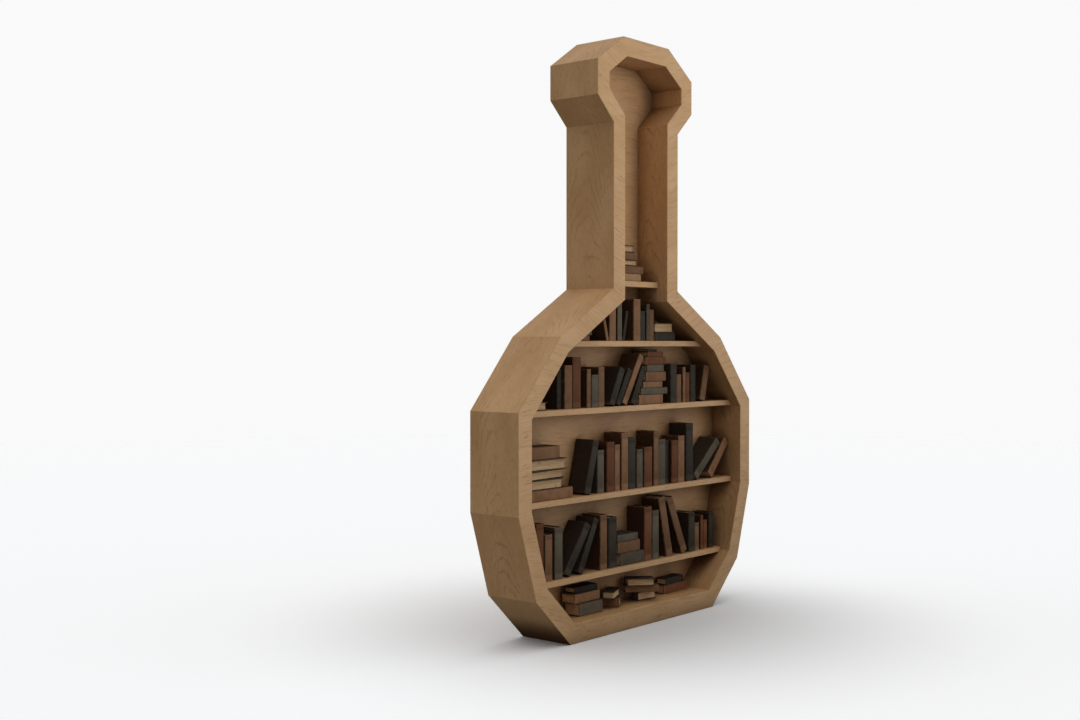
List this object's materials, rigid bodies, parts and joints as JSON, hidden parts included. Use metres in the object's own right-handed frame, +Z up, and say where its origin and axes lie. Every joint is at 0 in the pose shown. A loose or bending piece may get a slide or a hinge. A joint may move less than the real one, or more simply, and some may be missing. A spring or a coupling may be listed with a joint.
{
  "type": "flask-shaped bookcase",
  "caption": "Tall floor-standing wooden bookcase in the outline of a round-bottomed flask, with shelves let into its thick mitred wall and old books that slide out",
  "frame": {"origin": "middle of the case's bounding box, on the floor", "axes": "+Z up, the open front faces -Y, +X to the right seen from the front"},
  "size_m": [1.398, 0.215, 2.1],
  "materials": {
    "case_wood": "satin lacquer",
    "shelf_wood": "satin lacquer",
    "back_wood": "satin lacquer",
    "spline_wood": "bare",
    "screw_steel": "zinc plated",
    "book_brown": "worn leather",
    "book_russet": "worn leather",
    "book_green": "worn book cloth",
    "book_dark_green": "worn book cloth",
    "book_tan": "worn leather",
    "book_pages": "aged paper edges"
  },
  "bodies": {
    "root": {"base_board": "case_wood", "lower_flank_right": "case_wood", "upper_flank_right": "case_wood", "belly_side_right": "case_wood", "lower_shoulder_right": "case_wood", "upper_shoulder_right": "case_wood", "neck_side_right": "case_wood", "rim_flare_right": "case_wood", "rim_side_right": "case_wood", "rim_slant_right": "case_wood", "top_board": "case_wood", "rim_slant_left": "case_wood", "rim_side_left": "case_wood", "rim_flare_left": "case_wood", "neck_side_left": "case_wood", "upper_shoulder_left": "case_wood", "lower_shoulder_left": "case_wood", "belly_side_left": "case_wood", "upper_flank_left": "case_wood", "lower_flank_left": "case_wood", "neck_shelf": "shelf_wood", "shoulder_shelf": "shelf_wood", "upper_shelf": "shelf_wood", "middle_shelf": "shelf_wood", "lower_shelf": "shelf_wood", "upper_back_panel": "back_wood", "lower_back_panel": "back_wood", "wall_rail": "back_wood", "lower_rail": "back_wood", "mitre_splines": "spline_wood", "panel_screws": "screw_steel"},
    "neck_pile": {"neck_pile": "book_brown"},
    "shoulder_low_books": {"shoulder_low_books": "book_brown"},
    "shoulder_left_row": {"shoulder_left_row": "book_brown"},
    "shoulder_right_row": {"shoulder_right_row": "book_brown"},
    "shoulder_right_pile": {"shoulder_right_pile": "book_dark_green"},
    "upper_low_book": {"upper_low_book": "book_brown"},
    "upper_left_pair": {"upper_left_pair": "book_russet"},
    "upper_left_trio": {"upper_left_trio": "book_brown"},
    "upper_leaning_books": {"upper_leaning_books": "book_dark_green"},
    "upper_pile": {"upper_pile": "book_brown"},
    "upper_right_row": {"upper_right_row": "book_dark_green"},
    "upper_right_leaning_book": {"upper_right_leaning_book": "book_brown"},
    "middle_pile": {"middle_pile": "book_brown"},
    "middle_left_leaning_book": {"middle_left_leaning_book": "book_dark_green"},
    "middle_row": {"middle_row": "book_russet"},
    "middle_right_leaning_books": {"middle_right_leaning_books": "book_green"},
    "lower_left_row": {"lower_left_row": "book_russet"},
    "lower_left_leaning_books": {"lower_left_leaning_books": "book_dark_green"},
    "lower_pair": {"lower_pair": "book_brown"},
    "lower_pile": {"lower_pile": "book_green"},
    "lower_tall_pair": {"lower_tall_pair": "book_russet"},
    "lower_right_leaning_books": {"lower_right_leaning_books": "book_brown"},
    "lower_right_row": {"lower_right_row": "book_dark_green"},
    "base_pile_left": {"base_pile_left": "book_green"},
    "base_pile_turned": {"base_pile_turned": "book_brown"},
    "base_pile_crossed": {"base_pile_crossed": "book_green"},
    "base_pile_right": {"base_pile_right": "book_russet"}
  },
  "joints": [
    {"name": "neck_pile_out", "type": "slide", "parent": "root", "child": "neck_pile", "axis": [0, -1, 0], "range_m": [0, 0.16]},
    {"name": "shoulder_low_books_out", "type": "slide", "parent": "root", "child": "shoulder_low_books", "axis": [0, -1, 0], "range_m": [0, 0.16]},
    {"name": "shoulder_left_row_out", "type": "slide", "parent": "root", "child": "shoulder_left_row", "axis": [0, -1, 0], "range_m": [0, 0.16]},
    {"name": "shoulder_right_row_out", "type": "slide", "parent": "root", "child": "shoulder_right_row", "axis": [0, -1, 0], "range_m": [0, 0.16]},
    {"name": "shoulder_right_pile_out", "type": "slide", "parent": "root", "child": "shoulder_right_pile", "axis": [0, -1, 0], "range_m": [0, 0.16]},
    {"name": "upper_low_book_out", "type": "slide", "parent": "root", "child": "upper_low_book", "axis": [0, -1, 0], "range_m": [0, 0.16]},
    {"name": "upper_left_pair_out", "type": "slide", "parent": "root", "child": "upper_left_pair", "axis": [0, -1, 0], "range_m": [0, 0.16]},
    {"name": "upper_left_trio_out", "type": "slide", "parent": "root", "child": "upper_left_trio", "axis": [0, -1, 0], "range_m": [0, 0.16]},
    {"name": "upper_leaning_books_out", "type": "slide", "parent": "root", "child": "upper_leaning_books", "axis": [0, -1, 0], "range_m": [0, 0.16]},
    {"name": "upper_pile_out", "type": "slide", "parent": "root", "child": "upper_pile", "axis": [0, -1, 0], "range_m": [0, 0.16]},
    {"name": "upper_right_row_out", "type": "slide", "parent": "root", "child": "upper_right_row", "axis": [0, -1, 0], "range_m": [0, 0.16]},
    {"name": "upper_right_leaning_book_out", "type": "slide", "parent": "root", "child": "upper_right_leaning_book", "axis": [0, -1, 0], "range_m": [0, 0.16]},
    {"name": "middle_pile_out", "type": "slide", "parent": "root", "child": "middle_pile", "axis": [0, -1, 0], "range_m": [0, 0.16]},
    {"name": "middle_left_leaning_book_out", "type": "slide", "parent": "root", "child": "middle_left_leaning_book", "axis": [0, -1, 0], "range_m": [0, 0.16]},
    {"name": "middle_row_out", "type": "slide", "parent": "root", "child": "middle_row", "axis": [0, -1, 0], "range_m": [0, 0.16]},
    {"name": "middle_right_leaning_books_out", "type": "slide", "parent": "root", "child": "middle_right_leaning_books", "axis": [0, -1, 0], "range_m": [0, 0.16]},
    {"name": "lower_left_row_out", "type": "slide", "parent": "root", "child": "lower_left_row", "axis": [0, -1, 0], "range_m": [0, 0.16]},
    {"name": "lower_left_leaning_books_out", "type": "slide", "parent": "root", "child": "lower_left_leaning_books", "axis": [0, -1, 0], "range_m": [0, 0.16]},
    {"name": "lower_pair_out", "type": "slide", "parent": "root", "child": "lower_pair", "axis": [0, -1, 0], "range_m": [0, 0.16]},
    {"name": "lower_pile_out", "type": "slide", "parent": "root", "child": "lower_pile", "axis": [0, -1, 0], "range_m": [0, 0.16]},
    {"name": "lower_tall_pair_out", "type": "slide", "parent": "root", "child": "lower_tall_pair", "axis": [0, -1, 0], "range_m": [0, 0.16]},
    {"name": "lower_right_leaning_books_out", "type": "slide", "parent": "root", "child": "lower_right_leaning_books", "axis": [0, -1, 0], "range_m": [0, 0.16]},
    {"name": "lower_right_row_out", "type": "slide", "parent": "root", "child": "lower_right_row", "axis": [0, -1, 0], "range_m": [0, 0.16]},
    {"name": "base_pile_left_out", "type": "slide", "parent": "root", "child": "base_pile_left", "axis": [0, -1, 0], "range_m": [0, 0.16]},
    {"name": "base_pile_turned_out", "type": "slide", "parent": "root", "child": "base_pile_turned", "axis": [0, -1, 0], "range_m": [0, 0.16]},
    {"name": "base_pile_crossed_out", "type": "slide", "parent": "root", "child": "base_pile_crossed", "axis": [0, -1, 0], "range_m": [0, 0.16]},
    {"name": "base_pile_right_out", "type": "slide", "parent": "root", "child": "base_pile_right", "axis": [0, -1, 0], "range_m": [0, 0.16]}
  ]
}
